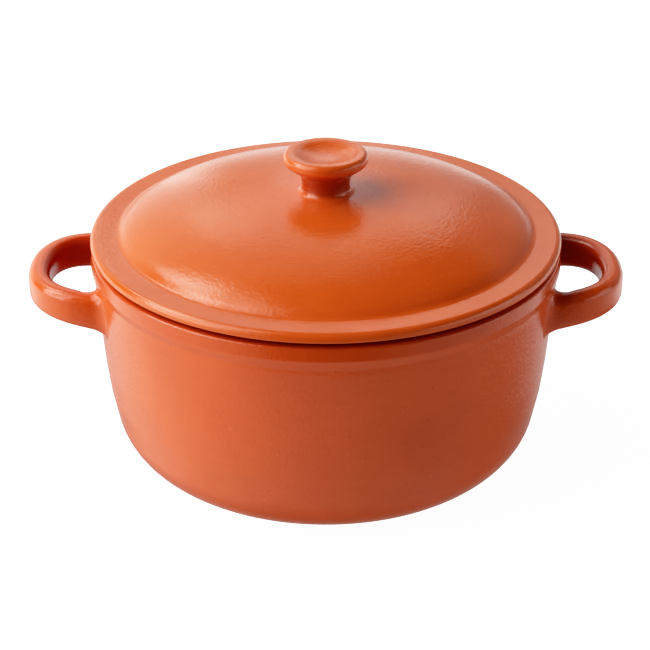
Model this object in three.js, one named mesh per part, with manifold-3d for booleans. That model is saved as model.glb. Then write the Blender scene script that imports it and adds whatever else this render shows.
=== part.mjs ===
// Round ceramic casserole: a pot body with two loop handles, and a lift-off domed lid with a knob.
// Millimetres, +Z up. The origin is the centre of the base on the table, and the handles lie along X.

import * as THREE from 'three';
import { mergeVertices } from 'three/addons/utils/BufferGeometryUtils.js';
import Module from 'manifold-3d';

// Pot body, outside
const potHeight = 117; // table to the top of the rim
const wallRadius = 119.3; // outside of the wall, just below the rim band
const wallUpright = 3.6; // upright stretch of wall below the band
const taperRounding = 40; // where the taper turns upright
const bellyInset = 4.75; // how far the wall has drawn in at the belly
const bellyHeight = 40.2;
const bellyRounding = 218;
const baseInset = 14.2; // how far the wall, run on straight, has drawn in at the table
const baseRounding = 30.8;
const footRingWidth = 12; // flat ring that the pot stands on
const footRecess = 1.5; // hollow inside the foot ring

// Rim band
const bandProud = 1.5; // how far the band stands out from the wall
const bandDepth = 7.4; // top of the rim to the widest line of the band
const bandLean = 0.3; // how far the band leans in at the rim
const bandStep = 5.2; // height over which the band runs back into the wall
const bandRounding = 14;
const stepRounding = 12;
const rimRounding = 2.2;
const mouthRounding = 2.5;

// Pot body, inside
const wallThickness = 8;
const innerBellyRounding = 140;
const floorThickness = 9;
const floorRounding = 26;

// Loop handles
const handleReach = 34.3; // wall to the outside of the loop
const handleWidth = 82.8; // across the outside of both legs
const handleDrop = 21.4; // top of the rim to the middle of the strap at its tip
const handleRise = 3.6; // middle of the strap at its tip above the middle at the wall
const handleSquareness = 2.34; // exponent of the loop's superellipse plan
const strapThickness = 11;
const tipHeight = 16.6; // depth of the strap at the tip of the loop
const legHeight = 19; // depth of the strap where the legs reach the wall
const strapRounding = 4;
const rootFlareReach = 9; // distance from the wall over which the legs widen
const rootFlareThickness = 2.3; // added to each side of the strap at the wall
const rootFlareHeight = 1.6; // added above and below the strap at the wall

// Lid
const lidInset = 0.1; // the lid is this much smaller in radius than the rim band
const seatInset = 4.7; // the lid's lower edge in to its seat on the rim
const lipLift = 1.6; // the lid's lower edge above its seat, which leaves a gap round the rim
const lidEdgeThickness = 4.4;
const lidEdgeLean = 0.7; // how far the edge leans in towards its top
const lidEdgeRounding = 4.2;
const lowerEdgeRounding = 0.7;
const ringWidth = 15.7; // lid's edge in to the dome
const domeRise = 20.1; // crown of the dome above the ring
const domeFullness = 0.625; // exponent of the dome: 1 is a parabola, 0.5 an ellipse
const creaseRounding = 5; // where the dome meets the ring
const lidThickness = 6.5;
const flangeDepth = 7; // locating flange that hangs inside the mouth
const flangeThickness = 6.5;
const flangeRounding = 1.5;

// Knob
const knobHeight = 21.2; // crown of the dome to the top of the lip
const knobRadius = 21.4;
const neckRadius = 12.2;
const lipThickness = 5;
const lipRounding = 2.4;
const dishDepth = 3;
const dishFlatRadius = 8;
const dishRounding = 30;
const dishEdgeWidth = 4.2; // lip between the dish and the outside of the knob
const dishEdgeRounding = 5;
const flareHeight = 7.2; // underside of the lip down to the top of the neck
const flareRounding = 8.5;
const knobFootRadius = 17;
const knobFootEdge = 0.8; // thickness of the foot at its outer edge
const knobFootRounding = 4;

// Clearances
const seatGap = 0.3; // lid above the rim
const jointGap = 0.3; // handle to wall, knob to lid
const flangeClearance = 1.5; // flange inside the mouth, all round

// Facets
const turnSteps = 56;
const knobTurnSteps = 36;
const arcStep = THREE.MathUtils.degToRad(22.5);
const domeSteps = 8;
const knobFootSteps = 3;
const domeEndAngle = THREE.MathUtils.degToRad(76); // where the dome stops and the crease begins
const handleSteps = 22;
const strapCornerSteps = 3;
const samePoint = 1e-4; // outline points closer than this count as one

// Heights and radii that follow from the sizes above
const bellyRadius = wallRadius - bellyInset;
const baseCornerRadius = wallRadius - baseInset;
const bandRadius = wallRadius + bandProud;
const bandBottom = potHeight - bandDepth;
const wallTop = bandBottom - bandStep;
const taperTop = wallTop - wallUpright;
const mouthRadius = wallRadius - wallThickness;
const lowerWallAngle = Math.atan2(bellyHeight, bellyRadius - baseCornerRadius);
const baseFlatRadius = baseCornerRadius - baseRounding * Math.tan(lowerWallAngle / 2);
const footInnerRadius = baseFlatRadius - footRingWidth;
const lowerWallSlope = (bellyRadius - baseCornerRadius) / bellyHeight;
const lidRadius = bandRadius - lidInset;
const seatHeight = potHeight + seatGap;
const lidEdgeBottom = seatHeight + lipLift;
const ringTop = lidEdgeBottom + lidEdgeThickness;
const creaseRadius = lidRadius - ringWidth;
const crownHeight = ringTop + domeRise;
const flangeRadius = mouthRadius - flangeClearance;
const hollowRadius = flangeRadius - flangeThickness;
const legY = (handleWidth - strapThickness) / 2; // middle of a handle leg at the wall
const legX = Math.sqrt(wallRadius ** 2 - legY ** 2);
const tipX = wallRadius + handleReach - strapThickness / 2;
const rootEndX = legX - strapThickness; // the legs run on this far into the wall before they are trimmed

// Satin-gloss terracotta glaze, a little glossier on the lid
const glaze = new THREE.Color(0xc8592f);
const potRoughness = 0.35;
const handleRoughness = 0.32;
const lidRoughness = 0.3;

const wasm = await Module();
wasm.setup();

// Outline through corners [radius, height, rounding]. Each rounding is a tangent arc, made smaller
// where two of them would overrun the side between them.
function roundedOutline(corners) {
  const points = corners.map(([r, z]) => new THREE.Vector2(r, z));
  const last = points.length - 1;
  const halfAngles = points.map((point, i) => {
    if (i === 0 || i === last) return Math.PI / 2;
    const before = points[i - 1].clone().sub(point).normalize();
    const after = points[i + 1].clone().sub(point).normalize();
    return Math.acos(THREE.MathUtils.clamp(before.dot(after), -1, 1)) / 2;
  });
  const tangents = corners.map(([, , rounding = 0], i) => rounding / Math.tan(halfAngles[i]));
  const shares = points.map(() => 1);
  for (let i = 0; i < last; i++) {
    const share = points[i].distanceTo(points[i + 1]) / (tangents[i] + tangents[i + 1]);
    shares[i] = Math.min(shares[i], share);
    shares[i + 1] = Math.min(shares[i + 1], share);
  }
  return points.flatMap((point, i) => {
    const tangent = tangents[i] * shares[i];
    if (i === 0 || i === last || tangent === 0) return [point];
    return cornerArc(points[i - 1], point, points[i + 1], tangent, halfAngles[i]);
  });
}

// Points of the arc that rounds one corner, from one tangent point to the other
function cornerArc(previous, corner, next, tangent, halfAngle) {
  const before = previous.clone().sub(corner).normalize();
  const after = next.clone().sub(corner).normalize();
  const bisector = before.clone().add(after).normalize();
  const centre = corner.clone().addScaledVector(bisector, tangent / Math.cos(halfAngle));
  const start = corner.clone().addScaledVector(before, tangent).sub(centre);
  const turn = Math.sign(after.cross(before)) * (Math.PI - 2 * halfAngle);
  const steps = Math.max(2, Math.ceil(Math.abs(turn) / arcStep));
  return Array.from({ length: steps + 1 }, (_, k) => {
    return start.clone().rotateAround(new THREE.Vector2(), (turn * k) / steps).add(centre);
  });
}

// Solid of revolution about Z from an outline of (radius, height) points that runs from axis to axis
function turned(outline, steps) {
  const spaced = outline.filter((point, i) => i === 0 || point.distanceTo(outline[i - 1]) > samePoint);
  return new THREE.LatheGeometry(spaced, steps).rotateX(Math.PI / 2);
}

// Height of a dome above its springing line at radius r
function domeHeightAt(r, springRadius, rise) {
  return rise * (1 - (r / springRadius) ** 2) ** domeFullness;
}

function lidTopAt(r) {
  return ringTop + domeHeightAt(r, creaseRadius, domeRise);
}

function potOutsideCorners() {
  return [
    [baseCornerRadius, 0, baseRounding],
    [bellyRadius, bellyHeight, bellyRounding],
    [wallRadius, taperTop, taperRounding],
    [wallRadius, wallTop, stepRounding],
    [bandRadius, bandBottom, bandRounding],
    [bandRadius - bandLean, potHeight, rimRounding],
  ];
}

function vesselGeometry() {
  const floorCornerRadius = bellyRadius - wallThickness - (bellyHeight - floorThickness) * lowerWallSlope;
  const corners = [
    [0, footRecess],
    [footInnerRadius - footRecess, footRecess],
    [footInnerRadius, 0],
    ...potOutsideCorners(),
    [mouthRadius, potHeight, mouthRounding],
    [mouthRadius, taperTop, taperRounding],
    [bellyRadius - wallThickness, bellyHeight, innerBellyRounding],
    [floorCornerRadius, floorThickness, floorRounding],
    [0, floorThickness],
  ];
  return turned(roundedOutline(corners), turnSteps);
}

function lidGeometry() {
  const crownInside = crownHeight - lidThickness;
  const inside = Array.from({ length: domeSteps + 1 }, (_, k) => {
    const r = hollowRadius * Math.sin((Math.PI / 2) * (k / domeSteps));
    return [r, seatHeight + domeHeightAt(r, hollowRadius, crownInside - seatHeight)];
  });
  const outside = Array.from({ length: domeSteps + 1 }, (_, k) => {
    const r = creaseRadius * Math.sin(domeEndAngle * (1 - k / domeSteps));
    return [r, lidTopAt(r)];
  });
  const flangeBottom = seatHeight - flangeDepth;
  const corners = [
    ...inside,
    [hollowRadius, flangeBottom, flangeRounding],
    [flangeRadius, flangeBottom, flangeRounding],
    [flangeRadius, seatHeight],
    [lidRadius - seatInset, seatHeight],
    [lidRadius, lidEdgeBottom, lowerEdgeRounding],
    [lidRadius - lidEdgeLean, ringTop, lidEdgeRounding],
    [creaseRadius, ringTop, creaseRounding],
    ...outside,
  ];
  return turned(roundedOutline(corners), turnSteps);
}

function knobGeometry() {
  const foot = Array.from({ length: knobFootSteps + 1 }, (_, k) => {
    const r = (knobFootRadius * k) / knobFootSteps;
    return [r, lidTopAt(r) + jointGap];
  });
  const footTop = lidTopAt(knobFootRadius) + jointGap + knobFootEdge;
  const knobTop = crownHeight + knobHeight;
  const lipBottom = knobTop - lipThickness;
  const dishBottom = knobTop - dishDepth;
  const corners = [
    ...foot,
    [knobFootRadius, footTop],
    [neckRadius, footTop, knobFootRounding],
    [neckRadius, lipBottom - flareHeight, flareRounding],
    [knobRadius, lipBottom, lipRounding],
    [knobRadius, knobTop, lipRounding],
    [knobRadius - dishEdgeWidth, knobTop, dishEdgeRounding],
    [dishFlatRadius, dishBottom, dishRounding],
    [0, dishBottom],
  ];
  return turned(roundedOutline(corners), knobTurnSteps);
}

// Middle line of the right handle's loop, from the front leg round the tip to the back leg
function handlePath() {
  const power = 2 / handleSquareness;
  const loop = Array.from({ length: handleSteps + 1 }, (_, k) => {
    const angle = Math.PI * (k / handleSteps - 0.5);
    const across = Math.sign(angle) * Math.abs(Math.sin(angle)) ** power;
    const along = Math.max(0, Math.cos(angle)) ** power;
    return new THREE.Vector2(legX + (tipX - legX) * along, legY * across);
  });
  const frontEnd = new THREE.Vector2(rootEndX, -legY);
  const backEnd = new THREE.Vector2(rootEndX, legY);
  return [frontEnd, ...loop, backEnd];
}

// Rounded-rectangle strap section: offsets across the strap and up from its middle
function strapSection(thickness, height) {
  const rounding = Math.min(strapRounding, thickness / 2, height / 2);
  const section = [];
  for (let corner = 0; corner < 4; corner++) {
    const side = corner === 0 || corner === 3 ? 1 : -1;
    const level = corner < 2 ? 1 : -1;
    for (let k = 0; k <= strapCornerSteps; k++) {
      const angle = (Math.PI / 2) * (corner + k / strapCornerSteps);
      section.push(new THREE.Vector2(
        side * (thickness / 2 - rounding) + rounding * Math.cos(angle),
        level * (height / 2 - rounding) + rounding * Math.sin(angle),
      ));
    }
  }
  return section;
}

// Strap lofted along the handle path, wider and deeper towards the wall
function strapLoft() {
  const path = handlePath();
  const tipMiddle = potHeight - handleDrop;
  const rings = path.map((point, i) => {
    const previous = path[Math.max(0, i - 1)];
    const next = path[Math.min(path.length - 1, i + 1)];
    const along = next.clone().sub(previous).normalize();
    const outward = new THREE.Vector2(along.y, -along.x);
    const clear = Math.max(0, point.length() - wallRadius);
    const flare = Math.max(0, 1 - clear / rootFlareReach) ** 2;
    const towardsWall = THREE.MathUtils.clamp((tipX - point.x) / (tipX - legX), 0, 1);
    const thickness = strapThickness + 2 * rootFlareThickness * flare;
    const height = THREE.MathUtils.lerp(tipHeight, legHeight, towardsWall) + 2 * rootFlareHeight * flare;
    const middle = tipMiddle - handleRise * towardsWall ** 2;
    return strapSection(thickness, height).map((offset) => {
      const place = point.clone().addScaledVector(outward, offset.x);
      return new THREE.Vector3(place.x, place.y, middle + offset.y);
    });
  });
  return loftGeometry(rings);
}

// Closed skin over rings of equally many points, with a flat cap at each end
function loftGeometry(rings) {
  const count = rings[0].length;
  const corners = rings.flat();
  const index = [];
  for (let i = 0; i < rings.length - 1; i++) {
    for (let k = 0; k < count; k++) {
      const a = i * count + k;
      const b = i * count + ((k + 1) % count);
      index.push(a, a + count, b, b, a + count, b + count);
    }
  }
  const end = (rings.length - 1) * count;
  for (let k = 1; k < count - 1; k++) {
    index.push(0, k, k + 1);
    index.push(end, end + k + 1, end + k);
  }
  const geometry = new THREE.BufferGeometry().setFromPoints(corners);
  geometry.setIndex(index);
  return geometry;
}

// Pot's outer shape as a plain solid, grown by the joint gap, that the handle legs are trimmed to
function wallTrimmer() {
  const grown = potOutsideCorners().map(([r, z, rounding]) => [r + jointGap, z, rounding]);
  return turned(roundedOutline([[0, 0], ...grown, [0, potHeight]]), turnSteps);
}

function toManifold(geometry) {
  const bare = geometry.clone();
  bare.deleteAttribute('normal');
  bare.deleteAttribute('uv');
  const merged = mergeVertices(bare);
  const ids = Array.from(merged.index.array);
  const triVerts = [];
  for (let i = 0; i < ids.length; i += 3) {
    const [a, b, c] = ids.slice(i, i + 3);
    if (a !== b && b !== c && c !== a) triVerts.push(a, b, c);
  }
  const vertProperties = Float32Array.from(merged.attributes.position.array);
  const mesh = new wasm.Mesh({ numProp: 3, vertProperties, triVerts: Uint32Array.from(triVerts) });
  return new wasm.Manifold(mesh);
}

function fromManifold(solid) {
  const mesh = solid.getMesh();
  const geometry = new THREE.BufferGeometry();
  geometry.setAttribute('position', new THREE.BufferAttribute(Float32Array.from(mesh.vertProperties), 3));
  geometry.setIndex(Array.from(mesh.triVerts));
  return geometry;
}

function handleGeometry() {
  return fromManifold(toManifold(strapLoft()).subtract(toManifold(wallTrimmer())));
}

function piece(name, geometry, roughness) {
  geometry.computeVertexNormals();
  const material = new THREE.MeshStandardMaterial({ color: glaze, roughness, metalness: 0 });
  const mesh = new THREE.Mesh(geometry, material);
  mesh.name = name;
  return mesh;
}

const pot = new THREE.Group();
const rightHandle = piece('right_handle', handleGeometry(), handleRoughness);
const leftHandle = piece('left_handle', handleGeometry(), handleRoughness);
leftHandle.rotation.z = Math.PI;
pot.add(piece('vessel', vesselGeometry(), potRoughness), leftHandle, rightHandle);

const lid = new THREE.Group();
lid.add(piece('lid', lidGeometry(), lidRoughness), piece('lid_knob', knobGeometry(), lidRoughness));

const casserole = new THREE.Group();
casserole.add(pot, lid);

export default casserole;
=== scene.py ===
"""Round glazed ceramic casserole: a pot with two loop handles and a domed lift-off lid with a knob.

Metres, +Z up. The origin is the centre of the base on the table, and the handles lie along X.
"""

import math

import bpy
import numpy as np
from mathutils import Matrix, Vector


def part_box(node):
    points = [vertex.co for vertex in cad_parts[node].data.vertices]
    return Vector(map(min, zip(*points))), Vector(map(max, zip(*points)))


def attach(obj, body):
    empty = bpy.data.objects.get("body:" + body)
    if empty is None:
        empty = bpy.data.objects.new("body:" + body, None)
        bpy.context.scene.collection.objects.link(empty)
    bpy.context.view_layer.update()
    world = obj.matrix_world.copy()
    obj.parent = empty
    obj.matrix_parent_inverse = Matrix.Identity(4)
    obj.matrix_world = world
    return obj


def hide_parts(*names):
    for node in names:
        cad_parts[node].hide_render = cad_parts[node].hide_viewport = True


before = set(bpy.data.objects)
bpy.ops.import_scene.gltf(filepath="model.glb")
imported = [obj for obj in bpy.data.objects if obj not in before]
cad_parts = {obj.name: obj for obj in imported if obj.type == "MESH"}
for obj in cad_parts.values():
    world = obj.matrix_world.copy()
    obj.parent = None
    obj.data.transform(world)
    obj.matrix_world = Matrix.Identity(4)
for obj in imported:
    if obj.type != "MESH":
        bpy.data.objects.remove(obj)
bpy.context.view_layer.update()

MM = 0.001

# Sizes that the frame gives
lid_low, lid_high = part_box("lid")
knob_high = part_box("lid_knob")[1]
POT_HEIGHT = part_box("vessel")[1].z
HANDLE_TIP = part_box("right_handle")[1].x
FLANGE_BOTTOM = lid_low.z
CROWN_HEIGHT = lid_high.z
KNOB_RADIUS = knob_high.x
KNOB_TOP = knob_high.z

# Pot body
BAND_RADIUS = 120.8 * MM
WALL_RADIUS = BAND_RADIUS - 1.5 * MM
BELLY_RADIUS = WALL_RADIUS - 4.75 * MM
BELLY_HEIGHT = 40.2 * MM
BELLY_ROUNDING = 218 * MM
BASE_CORNER_RADIUS = WALL_RADIUS - 14.2 * MM
BASE_ROUNDING = 30.8 * MM
FOOT_INNER_RADIUS = 68.7 * MM
FOOT_RECESS = 1.5 * MM
FOOT_ROUNDING = 0.8 * MM
BAND_BOTTOM = POT_HEIGHT - 8.2 * MM
BAND_ROUNDING = 5 * MM
BAND_LEAN = 0.8 * MM
WALL_TOP = BAND_BOTTOM - 4.4 * MM
STEP_ROUNDING = 4 * MM
TAPER_TOP = WALL_TOP - 2.6 * MM
TAPER_ROUNDING = 40 * MM
RIM_DROP = 1.4 * MM
RIM_ROUNDING = 1.1 * MM
RIM_FLAT_RADIUS = 114.5 * MM
MOUTH_ROUNDING = 2.5 * MM
WALL_THICKNESS = 8 * MM
INNER_BELLY_ROUNDING = 140 * MM
FLOOR_THICKNESS = 9 * MM
FLOOR_ROUNDING = 26 * MM

# Loop handles
STRAP_THICKNESS = 11 * MM
STRAP_ROUNDING = 4.8 * MM
TIP_HEIGHT = 16.6 * MM
LEG_HEIGHT = 19 * MM
LEG_Y = 35.9 * MM
LEG_X = math.sqrt(WALL_RADIUS**2 - LEG_Y**2)
TIP_X = HANDLE_TIP - STRAP_THICKNESS / 2
TIP_MIDDLE = POT_HEIGHT - 21.4 * MM
HANDLE_RISE = 3.6 * MM
LOOP_EXPONENT = 2.34
ROOT_REACH = 7.5 * MM
ROOT_RUN = 4.5 * MM
ROOT_SPREAD = 4 * MM
ROOT_SINK = 0.4 * MM

# Lid
LID_RADIUS = 120.7 * MM
SEAT_HEIGHT = FLANGE_BOTTOM + 7 * MM
SEAT_RADIUS = LID_RADIUS - 4.7 * MM
EDGE_BOTTOM = SEAT_HEIGHT + 1.6 * MM
EDGE_LEAN = 0.7 * MM
EDGE_ROUNDING = 3.2 * MM
LOWER_EDGE_ROUNDING = 1.2 * MM
RING_TOP = EDGE_BOTTOM + 4.4 * MM
CREASE_RADIUS = LID_RADIUS - 15.7 * MM
CREASE_ROUNDING = 5 * MM
DOME_RISE = CROWN_HEIGHT - RING_TOP
DOME_FULLNESS = 0.625
DOME_END_RADIUS = CREASE_RADIUS - 1.4 * MM
LID_THICKNESS = 6.5 * MM
FLANGE_RADIUS = WALL_RADIUS - WALL_THICKNESS - 1.5 * MM
HOLLOW_RADIUS = FLANGE_RADIUS - 6.5 * MM
FLANGE_ROUNDING = 1.5 * MM

# Knob
NECK_RADIUS = 12.2 * MM
KNOB_FOOT_SPREAD = 3.4 * MM
KNOB_FOOT_REACH = 3 * MM
KNOB_FOOT_TUCK = 0.1 * MM
KNOB_SINK = 0.6 * MM
LIP_THICKNESS = 5 * MM
LIP_ROUNDING = 2.4 * MM
FLARE_HEIGHT = 7.2 * MM
FLARE_ROUNDING = 8.5 * MM
DISH_DEPTH = 3 * MM
DISH_FLAT_RADIUS = 8 * MM
DISH_ROUNDING = 30 * MM
DISH_EDGE_WIDTH = 5.5 * MM
DISH_EDGE_ROUNDING = 13 * MM

# Mesh fineness
TURN_STEPS = 192
KNOB_TURN_STEPS = 128
ARC_STEP = math.radians(6)
LONGEST_RUN = 4 * MM
DOME_STEPS = 40
LOOP_STEPS = 72
ROOT_STEPS = 8
SECTION_CORNER_STEPS = 7
WALL_PASSES = 5
LOOP_PROBE = math.radians(0.06)
SAME_POINT = 1e-4 * MM

# Glaze, with linear colours and the sizes of its marks
POT_GLAZE_DEEP = (0.6, 0.1, 0.021, 1)
POT_GLAZE_LIGHT = (0.66, 0.115, 0.027, 1)
LID_GLAZE_DEEP = (0.61, 0.113, 0.022, 1)
LID_GLAZE_LIGHT = (0.67, 0.129, 0.028, 1)
GLAZE_SPECK = (0.74, 0.18, 0.055, 1)
GLAZE_PIT = (0.32, 0.045, 0.012, 1)
# Dark colour of pooled glaze, which also paints the shade in the hollows
GLAZE_POOL_AND_SHADE = (0.2, 0.012, 0.003, 1)
GLAZE_IOR = 1.5
GLAZE_ROUGHNESS = 0.19
ROUGHNESS_VARIATION = 0.03
ROUGHNESS_BLOTCH = 15 * MM
TONE_BLOTCH = 45 * MM
TURNING_STRETCH = 4
TURNING_LINE = 4 * MM
TURNING_VARIATION = 0.02
SPECK_SPACING = 9 * MM
SPECK_RADIUS = 0.45 * MM
PIT_SPACING = 8 * MM
PIT_RADIUS = 0.4 * MM
PIT_SHIFT = (0.5, 0.5, 0.5)
DOT_CORE = 0.6
PEEL_SIZE = 1.8 * MM
PEEL_DEPTH = 0.15 * MM
TURNING_DEPTH = 0.08 * MM
SWELL_SIZE = 9 * MM
SWELL_DEPTH = 0.07 * MM

# How dark the hollows are made, from 0 to 1: pooled glaze there, and painted shade inside the loops,
# round the knob's neck, and on the rim and band under the lid's edge
POOL_AND_SHADE = "pool_and_shade"
LOOP_POOL_AND_SHADE = 0.65
NECK_POOL_AND_SHADE = 0.6
SEAT_POOL_AND_SHADE = 0.75
BAND_PAINTED_SHADE = 0.15

# Bare clay of the foot ring
CLAY_DARK = (0.42, 0.17, 0.08, 1)
CLAY_LIGHT = (0.55, 0.26, 0.14, 1)
CLAY_STAIN = 12 * MM
CLAY_GRAIN = 0.8 * MM
CLAY_GRAIN_TONES = (0.85, 1.1)
CLAY_ROUGHNESSES = (0.75, 0.9)
CLAY_GRAIN_DEPTH = 0.15 * MM
FOOT_BARE_HEIGHT = 0.5 * MM

# Noise: how many layers it has, and the values that most of it lies between
SOFT_DETAIL = 2
FINE_DETAIL = 3
GRAIN_DETAIL = 4
NOISE_LOW = 0.3
NOISE_HIGH = 0.7

# Sockets of a Mix node, for numbers and for colours
MIX_SHARE = 0
NUMBER_FIRST, NUMBER_SECOND, NUMBER_RESULT = 2, 3, 0
COLOUR_FIRST, COLOUR_SECOND, COLOUR_RESULT = 6, 7, 2

# Camera and floor
SENSOR_WIDTH = 36
LENS = 107.7
CAMERA_PLACE = (-0.0004, -0.9095, 0.5376)
CAMERA_TILT = math.radians(62.61)
WHITE = (1, 1, 1, 1)
FLOOR_GREY = (0.4, 0.4, 0.4, 1)
FLOOR_GLOW = 1.6
FLOOR_REACH = 6

# Panels of light by name, with the heading clockwise from behind the pot, the height above the horizon,
# the width and height that the pot sees, all in degrees, and the radiance
PANEL_AIM = Vector((0, 0, 0.1))
PANEL_DISTANCE = 1.6
PANELS = [
    ("key", -92, 38, 18, 32, 9.8),
    ("high_key", -60, 50, 19, 20, 7),
    ("low_key", -110, 11, 38, 18, 7.2),
    ("top_left", -102, 66, 24, 18, 2.7),
    ("high_left", -58, 66, 16, 14, 1.2),
    ("left_fill", -122, 40, 21, 40, 4.4),
    ("low_fill", -140, 22, 16, 30, 1.7),
    ("left_backdrop", -36, 28, 40, 24, 1.15),
    ("low_left_backdrop", -34, 8, 46, 16, 1.5),
    ("back_strip", 0, 20, 9, 7, 1.4),
    ("backdrop", 0, 33, 30, 19, 1.4),
    ("low_backdrop", 0, 8, 30, 31, 0.66),
    ("high_backdrop", -14, 51, 34, 20, 0.8),
    ("right_backdrop", 40, 20, 50, 40, 0.52),
    ("right_bounce", 90, 16, 28, 32, 2.35),
    ("right_fill", 118, 11, 30, 24, 1.9),
]

# Light from below the horizon. Each row goes from its first level to its second while a direction's
# part to the right, to the back or upwards goes from the third number to the fourth.
HORIZON_BACK = (0, 1, -0.5, 0.5)
HORIZON_LEFT = (1.5, 0, -0.8, -0.3)
HORIZON_RIGHT = (0, 0.75, 0.3, 0.7)
TABLE_ACROSS = (1.48, 0.65, -0.8, 0.8)
TABLE_BACK = (1, 0.4, -0.2, 0.3)
TABLE_LEFT = (1, 0, -0.7, -0.3)
TABLE_UNDER_POT = (0.45, 1, -0.99, -0.84)
TABLE_TO_HORIZON = (0, 1, -0.56, -0.4)
HORIZON_CUT = (1, 0, 0, 0.04)

# Tone: shadows below the toe deepen, and the shoulder holds what is brighter than white
TOE = 0.1
SHOULDER = 1.05
SHOULDER_POWER = 3
BRIGHTEST = 2
TONE_LEVELS = (0.02, 0.05, 0.1, 0.2, 0.4, 0.7, 1, 1.4)
COMBINED_CURVE = 3


def unit(vector):
    return vector / np.linalg.norm(vector)


def corner_arc(before, corner, after, rounding):
    """Points of the tangent arc that rounds one corner of an outline."""
    to_before = unit(before - corner)
    to_after = unit(after - corner)
    half_angle = math.acos(np.clip(to_before @ to_after, -1, 1)) / 2
    tangent = rounding / math.tan(half_angle)
    centre = corner + unit(to_before + to_after) * rounding / math.sin(half_angle)
    start = corner + to_before * tangent - centre
    end = corner + to_after * tangent - centre
    turn = math.pi - 2 * half_angle
    steps = max(2, math.ceil(turn / ARC_STEP))
    shares = np.linspace(0, 1, steps + 1)[:, None]
    return centre + (np.sin((1 - shares) * turn) * start + np.sin(shares * turn) * end) / math.sin(turn)


def rounded_outline(corners):
    """Outline through corners (radius, height, rounding), with long straight runs split."""
    places = np.array([corner[:2] for corner in corners])
    stretches = [places[:1]]
    for i in range(1, len(corners) - 1):
        rounding = corners[i][2] if len(corners[i]) > 2 else 0
        if rounding:
            stretches.append(corner_arc(places[i - 1], places[i], places[i + 1], rounding))
        else:
            stretches.append(places[i : i + 1])
    stretches.append(places[-1:])
    outline = [places[0]]
    for place in np.concatenate(stretches)[1:]:
        gap = np.linalg.norm(place - outline[-1])
        if gap < SAME_POINT:
            continue
        splits = math.ceil(gap / LONGEST_RUN)
        start = outline[-1]
        outline.extend(start + (place - start) * k / splits for k in range(1, splits + 1))
    return np.array(outline)


def mesh_piece(name, points, faces, material):
    mesh = bpy.data.meshes.new(name)
    mesh.from_pydata(points, [], faces)
    mesh.shade_smooth()
    mesh.materials.append(material)
    piece = bpy.data.objects.new(name, mesh)
    bpy.context.scene.collection.objects.link(piece)
    return piece


def turned(name, outline, steps, material):
    """Closed piece turned about Z from an outline that runs from axis to axis."""
    angles = np.linspace(0, 2 * math.pi, steps, endpoint=False)
    radii, heights = outline[1:-1].T
    x = np.outer(radii, np.cos(angles))
    y = np.outer(radii, np.sin(angles))
    z = np.repeat(heights[:, None], steps, 1)
    rings = np.stack([x, y, z], axis=-1).reshape(-1, 3)
    first_pole = len(rings)
    last_pole = first_pole + 1
    last_ring = (len(radii) - 1) * steps
    faces = []
    for k in range(steps):
        k_next = (k + 1) % steps
        faces.append((first_pole, k_next, k))
        faces.append((last_ring + k, last_ring + k_next, last_pole))
        for i in range(0, last_ring, steps):
            faces.append((i + k, i + k_next, i + steps + k_next, i + steps + k))
    poles = [(0, 0, outline[0][1]), (0, 0, outline[-1][1])]
    return mesh_piece(name, np.concatenate([rings, poles]), faces, material)


def dome_height(radius, spring_radius, rise):
    return rise * (1 - (radius / spring_radius) ** 2) ** DOME_FULLNESS


def lid_top(radius):
    return RING_TOP + dome_height(radius, CREASE_RADIUS, DOME_RISE)


def pot_outside():
    return [
        (BASE_CORNER_RADIUS, 0, BASE_ROUNDING),
        (BELLY_RADIUS, BELLY_HEIGHT, BELLY_ROUNDING),
        (WALL_RADIUS, TAPER_TOP, TAPER_ROUNDING),
        (WALL_RADIUS, WALL_TOP, STEP_ROUNDING),
        (BAND_RADIUS, BAND_BOTTOM, BAND_ROUNDING),
        (BAND_RADIUS - BAND_LEAN, POT_HEIGHT - RIM_DROP, RIM_ROUNDING),
        (RIM_FLAT_RADIUS, POT_HEIGHT),
    ]


def pot_outline():
    mouth_radius = WALL_RADIUS - WALL_THICKNESS
    inner_belly = BELLY_RADIUS - WALL_THICKNESS
    slope = (BELLY_RADIUS - BASE_CORNER_RADIUS) / BELLY_HEIGHT
    floor_corner = inner_belly - (BELLY_HEIGHT - FLOOR_THICKNESS) * slope
    return rounded_outline([
        (0, FOOT_RECESS),
        (FOOT_INNER_RADIUS - FOOT_RECESS, FOOT_RECESS, FOOT_ROUNDING),
        (FOOT_INNER_RADIUS, 0, FOOT_ROUNDING),
        *pot_outside(),
        (mouth_radius, POT_HEIGHT, MOUTH_ROUNDING),
        (mouth_radius, TAPER_TOP, TAPER_ROUNDING),
        (inner_belly, BELLY_HEIGHT, INNER_BELLY_ROUNDING),
        (floor_corner, FLOOR_THICKNESS, FLOOR_ROUNDING),
        (0, FLOOR_THICKNESS),
    ])


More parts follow.
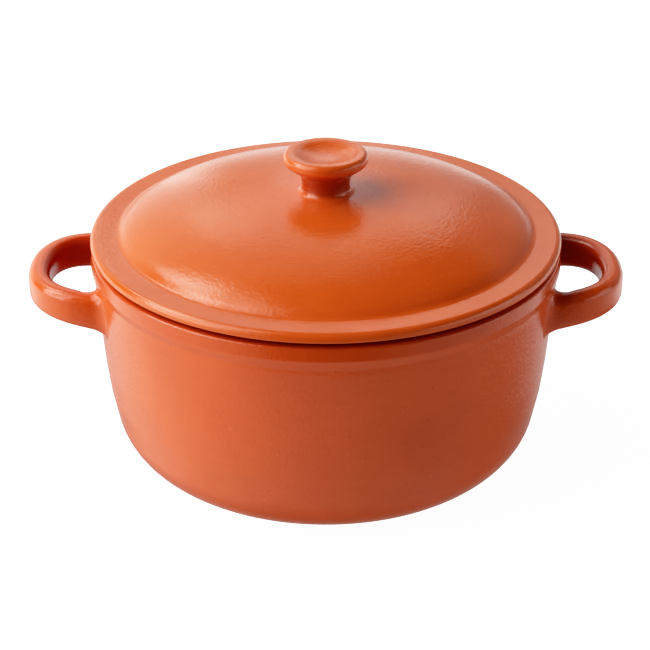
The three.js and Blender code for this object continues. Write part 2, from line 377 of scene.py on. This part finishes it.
def lid_outline():
    inside_rise = CROWN_HEIGHT - LID_THICKNESS - SEAT_HEIGHT
    inside_radii = HOLLOW_RADIUS * np.sin(np.linspace(0, math.pi / 2, DOME_STEPS))
    inside = [(r, SEAT_HEIGHT + dome_height(r, HOLLOW_RADIUS, inside_rise)) for r in inside_radii]
    end_angle = math.asin(DOME_END_RADIUS / CREASE_RADIUS)
    dome_radii = CREASE_RADIUS * np.sin(np.linspace(end_angle, 0, DOME_STEPS))
    dome = [(r, lid_top(r)) for r in dome_radii]
    (end_r, end_z), (next_r, next_z) = dome[:2]
    crease = end_r + (end_z - RING_TOP) * (end_r - next_r) / (next_z - end_z)
    return rounded_outline([
        *inside,
        (HOLLOW_RADIUS, FLANGE_BOTTOM, FLANGE_ROUNDING),
        (FLANGE_RADIUS, FLANGE_BOTTOM, FLANGE_ROUNDING),
        (FLANGE_RADIUS, SEAT_HEIGHT, FLANGE_ROUNDING),
        (SEAT_RADIUS, SEAT_HEIGHT),
        (LID_RADIUS, EDGE_BOTTOM, LOWER_EDGE_ROUNDING),
        (LID_RADIUS - EDGE_LEAN, RING_TOP, EDGE_ROUNDING),
        (crease, RING_TOP, CREASE_ROUNDING),
        *dome,
    ])


def knob_outline():
    """Knob whose foot runs out tangent to the dome, so the two read as one glazed surface."""
    foot = [(0, lid_top(0) - KNOB_SINK)]
    for angle in np.linspace(math.pi / 2, 0, ROOT_STEPS + 1):
        radius = NECK_RADIUS + KNOB_FOOT_SPREAD * (1 - math.cos(angle))
        above = KNOB_FOOT_REACH * (1 - math.sin(angle))
        foot.append((radius, lid_top(radius) + above - KNOB_FOOT_TUCK))
    edge = foot[1][0]
    foot.insert(1, (edge, lid_top(edge) - KNOB_SINK))
    lip_bottom = KNOB_TOP - LIP_THICKNESS
    dish_bottom = KNOB_TOP - DISH_DEPTH
    return rounded_outline([
        *foot,
        (NECK_RADIUS, lip_bottom - FLARE_HEIGHT, FLARE_ROUNDING),
        (KNOB_RADIUS, lip_bottom, LIP_ROUNDING),
        (KNOB_RADIUS, KNOB_TOP, LIP_ROUNDING),
        (KNOB_RADIUS - DISH_EDGE_WIDTH, KNOB_TOP, DISH_EDGE_ROUNDING),
        (DISH_FLAT_RADIUS, dish_bottom, DISH_ROUNDING),
        (0, dish_bottom),
    ])


def strap_section(height):
    """Offsets across the strap and up from its middle, and the outward normal at each, round a strap."""
    across = STRAP_THICKNESS / 2 - STRAP_ROUNDING
    up = height / 2 - STRAP_ROUNDING
    offsets = []
    normals = []
    for corner, (side, level) in enumerate([(1, 1), (-1, 1), (-1, -1), (1, -1)]):
        centre = np.array([side * across, level * up])
        for k in range(SECTION_CORNER_STEPS + 1):
            angle = math.pi / 2 * (corner + k / SECTION_CORNER_STEPS)
            normal = np.array([math.cos(angle), math.sin(angle)])
            offsets.append(centre + STRAP_ROUNDING * normal)
            normals.append(normal)
    return np.array(offsets), np.array(normals)


def loop_point(angle):
    """Middle line of the right handle at an angle from the front leg, -pi/2, to the back leg, pi/2."""
    power = 2 / LOOP_EXPONENT
    across = math.copysign(abs(math.sin(angle)) ** power, angle)
    along = max(0, math.cos(angle)) ** power
    return np.array([LEG_X + (TIP_X - LEG_X) * along, LEG_Y * across])


def strap_at(x):
    """Height of the strap and of its middle where its middle line has come to x."""
    towards_wall = np.clip((TIP_X - x) / (TIP_X - LEG_X), 0, 1)
    height = TIP_HEIGHT + (LEG_HEIGHT - TIP_HEIGHT) * towards_wall
    middle = TIP_MIDDLE - HANDLE_RISE * towards_wall**2
    return height, middle


def root_rings(side, wall):
    """Rings that run from a straight leg out on to the wall, tangent to both.

    Side is -1 for the front leg and 1 for the back leg. The wall is given by its heights and radii.
    """
    wall_heights, wall_radii = wall
    rings = []
    for angle in np.linspace(0, math.pi / 2, ROOT_STEPS + 1):
        spread_out = ROOT_SPREAD * (1 - math.cos(angle))
        reach = ROOT_REACH * (1 - math.sin(angle))
        height, _ = strap_at(LEG_X + reach)
        offsets, normals = strap_section(height)
        across, up = (offsets + spread_out * normals).T
        y = side * (LEG_Y + across)
        x = np.full(len(y), LEG_X + reach)
        for _ in range(WALL_PASSES):
            z = strap_at(x)[1] + up
            x = np.sqrt(np.interp(z, wall_heights, wall_radii) ** 2 - y**2) + reach
        rings.append(np.stack([x, y, z], axis=-1))
    sunk = rings[-1].copy()
    sunk[:, 0] -= ROOT_SINK
    return [*rings, sunk]


def handle_piece(name, turn, wall, material):
    """Loop handle, turned about Z from its place on the right of the pot."""
    rings = []
    for angle in np.linspace(-math.pi / 2, math.pi / 2, LOOP_STEPS + 1):
        point = loop_point(angle)
        if point[0] < LEG_X + ROOT_REACH + ROOT_RUN:
            continue
        ahead = loop_point(min(angle + LOOP_PROBE, math.pi / 2))
        behind = loop_point(max(angle - LOOP_PROBE, -math.pi / 2))
        along = unit(ahead - behind)
        outward = np.array([along[1], -along[0]])
        height, middle = strap_at(point[0])
        offsets, _ = strap_section(height)
        places = point + offsets[:, :1] * outward
        rings.append(np.column_stack([places, middle + offsets[:, 1]]))
    front = root_rings(-1, wall)
    back = root_rings(1, wall)
    rings = [*front[::-1], *rings, *back]
    count = len(rings[0])
    faces = []
    for i in range(len(rings) - 1):
        for k in range(count):
            a = i * count + k
            b = i * count + (k + 1) % count
            faces.append((a, a + count, b + count, b))
    last = (len(rings) - 1) * count
    faces.append(tuple(range(count)))
    faces.append(tuple(last + k for k in reversed(range(count))))
    points = np.concatenate(rings)
    inward = np.tile(-strap_section(TIP_HEIGHT)[1][:, 0], len(rings))
    cosine, sine = math.cos(turn), math.sin(turn)
    spin = np.array([[cosine, -sine, 0], [sine, cosine, 0], [0, 0, 1]])
    piece = mesh_piece(name, points @ spin.T, faces, material)
    # Painted shade on the inside of the loop, with glaze pooled there too
    pool_glaze_and_shade(piece, LOOP_POOL_AND_SHADE * inward)
    return piece


def pool_glaze_and_shade(piece, shares):
    """Marks how far glaze has pooled and shade is painted at each point, from 0 to 1, which makes it
    darker there.
    """
    marks = piece.data.attributes.new(POOL_AND_SHADE, "FLOAT", "POINT")
    marks.data.foreach_set("value", np.clip(shares, 0, 1))


def radii_and_heights(piece):
    points = np.array([point.co for point in piece.data.vertices])
    return np.hypot(points[:, 0], points[:, 1]), points[:, 2]


def pool_and_shade_rim(pot):
    """Painted shade on the slope of the rim under the lid's edge, with glaze pooled there too, and a
    little painted shade along the band below it.
    """
    radii, heights = radii_and_heights(pot)
    outer = radii > RIM_FLAT_RADIUS + SAME_POINT
    inward = (BAND_RADIUS - BAND_LEAN - RIM_ROUNDING - radii) / RIM_ROUNDING
    on_slope = outer & (heights > POT_HEIGHT - RIM_DROP - RIM_ROUNDING)
    on_band = outer * np.clip((heights - BAND_BOTTOM) / RIM_DROP, 0, 1)
    pool_glaze_and_shade(pot, np.maximum(SEAT_POOL_AND_SHADE * np.clip(inward, 0, 1) * on_slope, BAND_PAINTED_SHADE * on_band))


def pool_and_shade_neck(knob):
    """Painted shade round the knob's neck, under its lip, with glaze pooled there too."""
    radii, heights = radii_and_heights(knob)
    inward = (KNOB_RADIUS - radii) / (KNOB_RADIUS - NECK_RADIUS)
    above_foot = (heights - CROWN_HEIGHT) / KNOB_FOOT_REACH
    under_lip = heights < KNOB_TOP - LIP_THICKNESS
    pool_glaze_and_shade(knob, NECK_POOL_AND_SHADE * np.clip(inward, 0, 1) * np.clip(above_foot, 0, 1) * under_lip)


def bare_foot(pot, clay):
    """Gives the faces of the foot ring, where the pot stands, bare clay."""
    pot.data.materials.append(clay)
    for face in pot.data.polygons:
        if face.center.z < FOOT_BARE_HEIGHT and face.normal.z < 0:
            face.material_index = 1


def feed(tree, node, inputs):
    """Links each input of a node to a socket, or sets it to a value."""
    for name, value in inputs.items():
        if isinstance(value, bpy.types.NodeSocket):
            tree.links.new(value, node.inputs[name])
        else:
            node.inputs[name].default_value = value


def add_node(tree, kind, inputs=None, **settings):
    made = tree.nodes.new("ShaderNode" + kind)
    for name, value in settings.items():
        setattr(made, name, value)
    feed(tree, made, inputs or {})
    return made


def maths(tree, operation, first, second):
    return add_node(tree, "Math", {0: first, 1: second}, operation=operation).outputs["Value"]


def vector_sum(tree, first, second):
    return add_node(tree, "VectorMath", {0: first, 1: second}, operation="ADD").outputs["Vector"]


def noise(tree, places, feature_size, detail=SOFT_DETAIL):
    """Noise from 0 to 1 whose blotches are about feature_size across."""
    inputs = {"Vector": places, "Scale": 1 / feature_size, "Detail": detail}
    return add_node(tree, "TexNoise", inputs).outputs["Fac"]


def spread(tree, value, low, high, from_low=NOISE_LOW, from_high=NOISE_HIGH):
    """Value that goes from low to high while the one given goes through its own range."""
    inputs = {"Value": value, "From Min": from_low, "From Max": from_high, "To Min": low, "To Max": high}
    return add_node(tree, "MapRange", inputs).outputs["Result"]


def blend(tree, share, first, second, how="MIX"):
    """Colour mixed from two others."""
    inputs = {MIX_SHARE: share, COLOUR_FIRST: first, COLOUR_SECOND: second}
    return add_node(tree, "Mix", inputs, data_type="RGBA", blend_type=how).outputs[COLOUR_RESULT]


def turning_places(tree, places):
    """Places for marks that run round the axis: the same marks, stretched along the turning direction."""
    split = add_node(tree, "SeparateXYZ", {"Vector": places}).outputs
    flat = add_node(tree, "CombineXYZ", {"X": split["X"], "Y": split["Y"]}).outputs["Vector"]
    radius = add_node(tree, "VectorMath", {0: flat}, operation="LENGTH").outputs["Value"]
    across = maths(tree, "SUBTRACT", split["Z"], radius)
    shrink = {0: flat, "Scale": 1 / TURNING_STRETCH}
    short = add_node(tree, "VectorMath", shrink, operation="SCALE").outputs["Vector"]
    upright = add_node(tree, "CombineXYZ", {"Z": across}).outputs["Vector"]
    return vector_sum(tree, short, upright)


def dots(tree, places, spacing, radius):
    """Scattered dots, 1 inside and 0 outside."""
    nearest = add_node(tree, "TexVoronoi", {"Vector": places, "Scale": 1 / spacing}).outputs["Distance"]
    edge = radius / spacing
    return spread(tree, nearest, 1, 0, DOT_CORE * edge, edge)


def bump(tree, height, depth, under=None):
    """Normal of a surface that the height raises by up to depth, over another bump where there is one."""
    inputs = {"Height": height, "Distance": depth, "Strength": 1}
    if under is not None:
        inputs["Normal"] = under
    return add_node(tree, "Bump", inputs).outputs["Normal"]


def new_material(name):
    """Material with its node tree and its shader."""
    material = bpy.data.materials.new(name)
    material.use_nodes = True
    tree = material.node_tree
    return material, tree, tree.nodes["Principled BSDF"]


def add_glaze(name, deep, light):
    """Satin-gloss terracotta glaze: blotches, throwing lines, specks, pits and an orange-peel skin."""
    material, tree, shader = new_material(name)
    places = add_node(tree, "TexCoord").outputs["Object"]
    turning = turning_places(tree, places)

    blotches = spread(tree, noise(tree, places, TONE_BLOTCH), 0, 1)
    tone = blend(tree, blotches, deep, light)
    lines = noise(tree, turning, TURNING_LINE, FINE_DETAIL)
    lines = spread(tree, lines, 1 - TURNING_VARIATION, 1 + TURNING_VARIATION)
    tone = blend(tree, 1, tone, lines, "MULTIPLY")
    tone = blend(tree, dots(tree, places, SPECK_SPACING, SPECK_RADIUS), tone, GLAZE_SPECK)
    pit_places = vector_sum(tree, places, PIT_SHIFT)
    tone = blend(tree, dots(tree, pit_places, PIT_SPACING, PIT_RADIUS), tone, GLAZE_PIT)
    # Painted shade in the hollows, with pooled glaze: the attribute darkens the tone towards the pool
    # colour
    pool_and_shade = add_node(tree, "Attribute", attribute_name=POOL_AND_SHADE).outputs["Fac"]
    tone = blend(tree, pool_and_shade, tone, GLAZE_POOL_AND_SHADE)

    satin = noise(tree, places, ROUGHNESS_BLOTCH, FINE_DETAIL)
    glossiest = GLAZE_ROUGHNESS - ROUGHNESS_VARIATION
    dullest = GLAZE_ROUGHNESS + ROUGHNESS_VARIATION
    satin = spread(tree, satin, glossiest, dullest)

    skin = bump(tree, noise(tree, places, PEEL_SIZE, FINE_DETAIL), PEEL_DEPTH)
    skin = bump(tree, noise(tree, turning, PEEL_SIZE), TURNING_DEPTH, skin)
    skin = bump(tree, noise(tree, places, SWELL_SIZE), SWELL_DEPTH, skin)
    feed(tree, shader, {"Base Color": tone, "Roughness": satin, "Normal": skin, "IOR": GLAZE_IOR})
    return material


def add_clay():
    """Bare fired clay of the foot ring, matt and grainy."""
    material, tree, shader = new_material("bare_clay")
    places = add_node(tree, "TexCoord").outputs["Object"]
    grain = noise(tree, places, CLAY_GRAIN, GRAIN_DETAIL)
    stain = spread(tree, noise(tree, places, CLAY_STAIN, FINE_DETAIL), 0, 1)
    tone = blend(tree, stain, CLAY_DARK, CLAY_LIGHT)
    tone = blend(tree, 1, tone, spread(tree, grain, *CLAY_GRAIN_TONES), "MULTIPLY")
    matt = spread(tree, grain, *CLAY_ROUGHNESSES)
    skin = bump(tree, grain, CLAY_GRAIN_DEPTH)
    feed(tree, shader, {"Base Color": tone, "Roughness": matt, "Normal": skin})
    return material


def add_camera():
    data = bpy.data.cameras.new("camera")
    data.sensor_width = SENSOR_WIDTH
    data.lens = LENS
    camera = bpy.data.objects.new("camera", data)
    camera.location = CAMERA_PLACE
    camera.rotation_euler = (CAMERA_TILT, 0, 0)
    bpy.context.scene.collection.objects.link(camera)
    bpy.context.scene.camera = camera


def add_floor():
    """Pale floor that only the camera sees.

    The world below the horizon stands for the light that it sends back.
    """
    material, tree, shader = new_material("floor_paint")
    feed(tree, shader, {
        "Base Color": FLOOR_GREY,
        "Emission Color": WHITE,
        "Emission Strength": FLOOR_GLOW,
        "Roughness": 1,
        "Specular IOR Level": 0,
    })
    corners = [(x * FLOOR_REACH, y * FLOOR_REACH, 0) for x, y in [(-1, -1), (1, -1), (1, 1), (-1, 1)]]
    floor = mesh_piece("floor", corners, [(0, 1, 2, 3)], material)
    floor.visible_diffuse = False
    floor.visible_glossy = False
    floor.visible_shadow = False


def add_world():
    """Light that a table sends back: along the horizon from behind and both sides, and from below.

    The table is brightest at the left, and dimmer at the right, behind the pot and straight below it.
    """
    world = bpy.data.worlds.new("studio")
    world.use_nodes = True
    bpy.context.scene.world = world
    tree = world.node_tree
    directions = add_node(tree, "TexCoord").outputs["Generated"]
    heading = add_node(tree, "SeparateXYZ", {"Vector": directions})
    rightward, backward, upward = (heading.outputs[axis] for axis in "XYZ")

    horizon = spread(tree, backward, *HORIZON_BACK)
    horizon = maths(tree, "ADD", horizon, spread(tree, rightward, *HORIZON_LEFT))
    horizon = maths(tree, "ADD", horizon, spread(tree, rightward, *HORIZON_RIGHT))
    shade = spread(tree, backward, *TABLE_BACK)
    shade = maths(tree, "MAXIMUM", shade, spread(tree, rightward, *TABLE_LEFT))
    table = maths(tree, "MULTIPLY", spread(tree, rightward, *TABLE_ACROSS), shade)
    table = maths(tree, "MULTIPLY", table, spread(tree, upward, *TABLE_UNDER_POT))
    share = spread(tree, upward, *TABLE_TO_HORIZON)
    mixed = add_node(tree, "Mix", {MIX_SHARE: share, NUMBER_FIRST: table, NUMBER_SECOND: horizon})
    below = spread(tree, upward, *HORIZON_CUT)
    strength = maths(tree, "MULTIPLY", mixed.outputs[NUMBER_RESULT], below)
    feed(tree, tree.nodes["Background"], {"Color": WHITE, "Strength": strength})


def toned(level):
    """Brightness in the picture of a level of light."""
    deepened = level**2 * (1 + TOE) / (level + TOE)
    return deepened / (1 + (deepened / SHOULDER) ** SHOULDER_POWER) ** (1 / SHOULDER_POWER)


def set_tone():
    """Plain view, with the toe and shoulder of the photograph's tones."""
    view = bpy.context.scene.view_settings
    view.view_transform = "Standard"
    view.use_curve_mapping = True
    view.curve_mapping.white_level = (BRIGHTEST, BRIGHTEST, BRIGHTEST)
    curve = view.curve_mapping.curves[COMBINED_CURVE]
    for level in TONE_LEVELS:
        curve.points.new(level / BRIGHTEST, toned(level))
    view.curve_mapping.update()


def add_panel(name, azimuth, elevation, width, height, radiance):
    """Soft light panel that faces the pot, which sees it width by height degrees wide."""
    turn = math.radians(azimuth)
    tilt = math.radians(elevation)
    flat = math.cos(tilt)
    heading = Vector((math.sin(turn) * flat, math.cos(turn) * flat, math.sin(tilt)))
    data = bpy.data.lights.new(name, "AREA")
    data.shape = "RECTANGLE"
    data.size = 2 * PANEL_DISTANCE * math.tan(math.radians(width / 2))
    data.size_y = 2 * PANEL_DISTANCE * math.tan(math.radians(height / 2))
    data.energy = radiance * math.pi * data.size * data.size_y
    panel = bpy.data.objects.new(name, data)
    panel.location = PANEL_AIM + heading * PANEL_DISTANCE
    panel.rotation_euler = heading.to_track_quat("Z", "Y").to_euler()
    panel.visible_camera = False
    bpy.context.scene.collection.objects.link(panel)


pot_glaze = add_glaze("pot_terracotta", POT_GLAZE_DEEP, POT_GLAZE_LIGHT)
lid_glaze = add_glaze("lid_terracotta", LID_GLAZE_DEEP, LID_GLAZE_LIGHT)
pot = turned("glazed_pot", pot_outline(), TURN_STEPS, pot_glaze)
bare_foot(pot, add_clay())
pool_and_shade_rim(pot)
outside = rounded_outline([(0, 0), *pot_outside(), (0, POT_HEIGHT)])
rising = outside[(outside[:, 0] > BASE_CORNER_RADIUS) & (outside[:, 1] < BAND_BOTTOM)]
wall = (rising[:, 1], rising[:, 0])
right_loop = handle_piece("right_loop", 0, wall, pot_glaze)
left_loop = handle_piece("left_loop", math.pi, wall, pot_glaze)
lid = turned("domed_lid", lid_outline(), TURN_STEPS, lid_glaze)
knob = turned("dished_knob", knob_outline(), KNOB_TURN_STEPS, lid_glaze)
pool_and_shade_neck(knob)

for piece, body, node, slot in [
    (pot, "pot", "vessel", "pot_glaze"),
    (left_loop, "pot", "left_handle", "handle_glaze"),
    (right_loop, "pot", "right_handle", "handle_glaze"),
    (lid, "lid", "lid", "lid_glaze"),
    (knob, "lid", "lid_knob", "knob_glaze"),
]:
    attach(piece, body)
    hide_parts(node)

add_camera()
add_floor()
add_world()
for panel in PANELS:
    add_panel(*panel)
set_tone()
